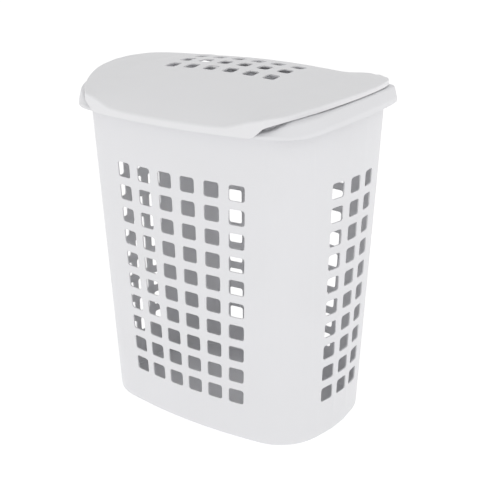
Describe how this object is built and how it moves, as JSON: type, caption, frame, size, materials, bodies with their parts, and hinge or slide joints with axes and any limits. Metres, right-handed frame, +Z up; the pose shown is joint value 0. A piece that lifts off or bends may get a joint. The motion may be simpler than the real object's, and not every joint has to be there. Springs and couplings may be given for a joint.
{
  "type": "laundry hamper with lid",
  "caption": "White plastic laundry hamper: tapered basket with square vent holes, arched end grips on a sloping rim, and a hinged, vented, vaulted lid.",
  "frame": {"origin": "centre of the flat underside, at floor level", "axes": "+Z up, +X along the length towards one end grip, +Y towards the hinged back, the lid opens from the front at -Y"},
  "size_m": [0.5232, 0.3848, 0.6095],
  "materials": {
    "basket_plastic": "satin moulded polypropylene",
    "lid_plastic": "satin moulded polypropylene"
  },
  "bodies": {
    "basket": {"basket": "basket_plastic"},
    "lid": {"lid": "lid_plastic"}
  },
  "joints": [
    {"name": "lid_hinge", "type": "hinge", "parent": "basket", "child": "lid", "pos_m": [0, 0.1905, 0.555], "axis": [-1, 0, 0], "range_deg": [0, 105]}
  ]
}
